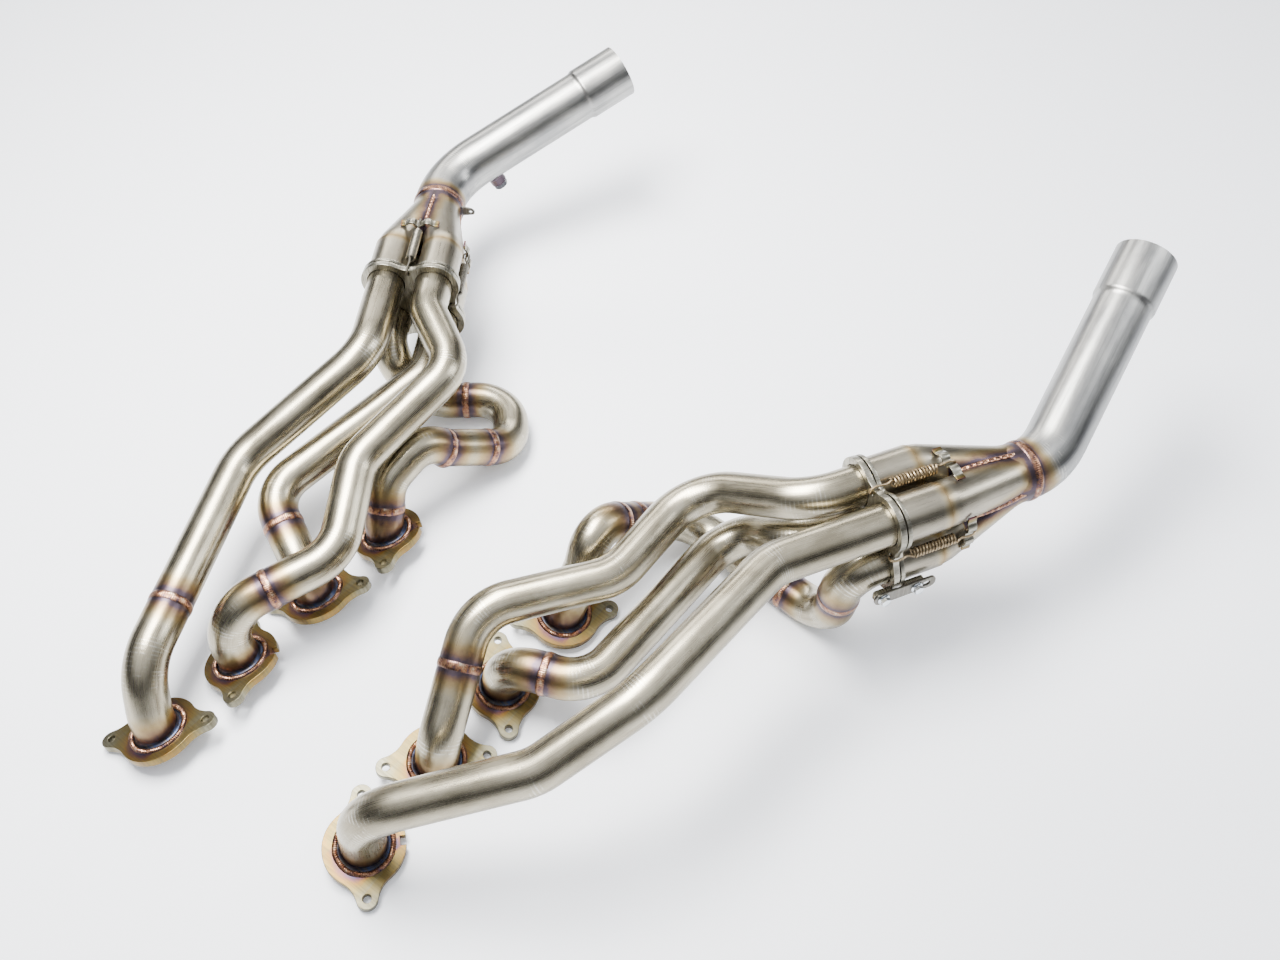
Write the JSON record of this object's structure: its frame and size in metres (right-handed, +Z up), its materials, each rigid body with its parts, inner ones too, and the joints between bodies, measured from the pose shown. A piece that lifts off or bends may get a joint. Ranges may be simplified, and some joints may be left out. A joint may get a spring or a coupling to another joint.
{
  "type": "racing exhaust manifold pair",
  "caption": "Pair of tubular race engine manifolds: bolted port flanges, bent primary pipes, and spring-held slip-fit collectors with outlet pipes.",
  "frame": {"origin": "on the floor, at the middle of the footprint of the pair", "axes": "+X to the right along the longest extent, +Y away from the viewer, +Z up"},
  "size_m": [1.164, 1.1214, 0.2941],
  "materials": {
    "tube_steel": "brushed stainless tube with straw heat tint at the welds",
    "outlet_steel": "brushed stainless outlet pipe, cooler grey",
    "collector_steel": "brushed stainless collector with dark seams",
    "machined_plate": "machined plate, straw tinted round its welds",
    "spring_wire": "bronze tempered spring wire",
    "zinc_bolt": "bright zinc plated bolt",
    "dark_plug": "dark oxide sensor plug"
  },
  "bodies": {
    "manifolds": {"left_crossover_4": "tube_steel", "left_port_flange_1": "machined_plate", "left_port_flange_2": "machined_plate", "left_port_flange_3": "machined_plate", "left_port_flange_4": "machined_plate", "left_port_stub_1": "tube_steel", "left_port_stub_2": "tube_steel", "left_port_stub_3": "tube_steel", "left_port_stub_4": "tube_steel", "left_primary_1": "tube_steel", "left_primary_2": "tube_steel", "left_primary_3": "tube_steel", "left_primary_4": "tube_steel", "left_return_bend_4": "tube_steel", "left_slip_plate": "machined_plate", "left_spring_1": "spring_wire", "left_spring_2": "spring_wire", "left_spring_3": "spring_wire", "left_spring_4": "spring_wire", "right_crossover_4": "tube_steel", "right_keeper_bolt_1": "zinc_bolt", "right_keeper_strap": "machined_plate", "right_port_flange_1": "machined_plate", "right_port_flange_2": "machined_plate", "right_port_flange_3": "machined_plate", "right_port_flange_4": "machined_plate", "right_port_stub_2": "tube_steel", "right_port_stub_3": "tube_steel", "right_port_stub_4": "tube_steel", "right_primary_1": "tube_steel", "right_primary_2": "tube_steel", "right_primary_3": "tube_steel", "right_primary_4": "tube_steel", "right_return_bend_4": "tube_steel", "right_slip_plate": "machined_plate", "right_spring_1": "spring_wire", "right_spring_2": "spring_wire", "right_spring_3": "spring_wire", "right_spring_4": "spring_wire"},
    "left_collector": {"left_collector": "collector_steel", "left_collector_plate": "machined_plate", "left_merge_spike": "collector_steel", "left_outlet_pipe": "outlet_steel", "left_sensor_boss": "collector_steel", "left_sensor_plug": "dark_plug", "left_shield_tab": "machined_plate", "left_spring_bridge_1": "machined_plate", "left_spring_bridge_2": "machined_plate", "left_spring_bridge_3": "machined_plate", "left_spring_bridge_4": "machined_plate"},
    "right_collector": {"right_collector": "collector_steel", "right_collector_plate": "machined_plate", "right_keeper_bolt_2": "zinc_bolt", "right_merge_spike": "collector_steel", "right_outlet_pipe": "outlet_steel", "right_spring_bridge_1": "machined_plate", "right_spring_bridge_2": "machined_plate", "right_spring_bridge_3": "machined_plate", "right_spring_bridge_4": "machined_plate"}
  },
  "joints": [
    {"name": "left_collector_slip", "type": "slide", "parent": "manifolds", "child": "left_collector", "axis": [0.068, 0.9977, 0], "range_m": [0, 0.012], "deforming": ["left_spring_1", "left_spring_2", "left_spring_3", "left_spring_4"]},
    {"name": "right_collector_slip", "type": "slide", "parent": "manifolds", "child": "right_collector", "axis": [0.9245, 0.3811, 0], "range_m": [0, 0.012], "deforming": ["right_spring_1", "right_spring_2", "right_spring_3", "right_spring_4"]}
  ]
}
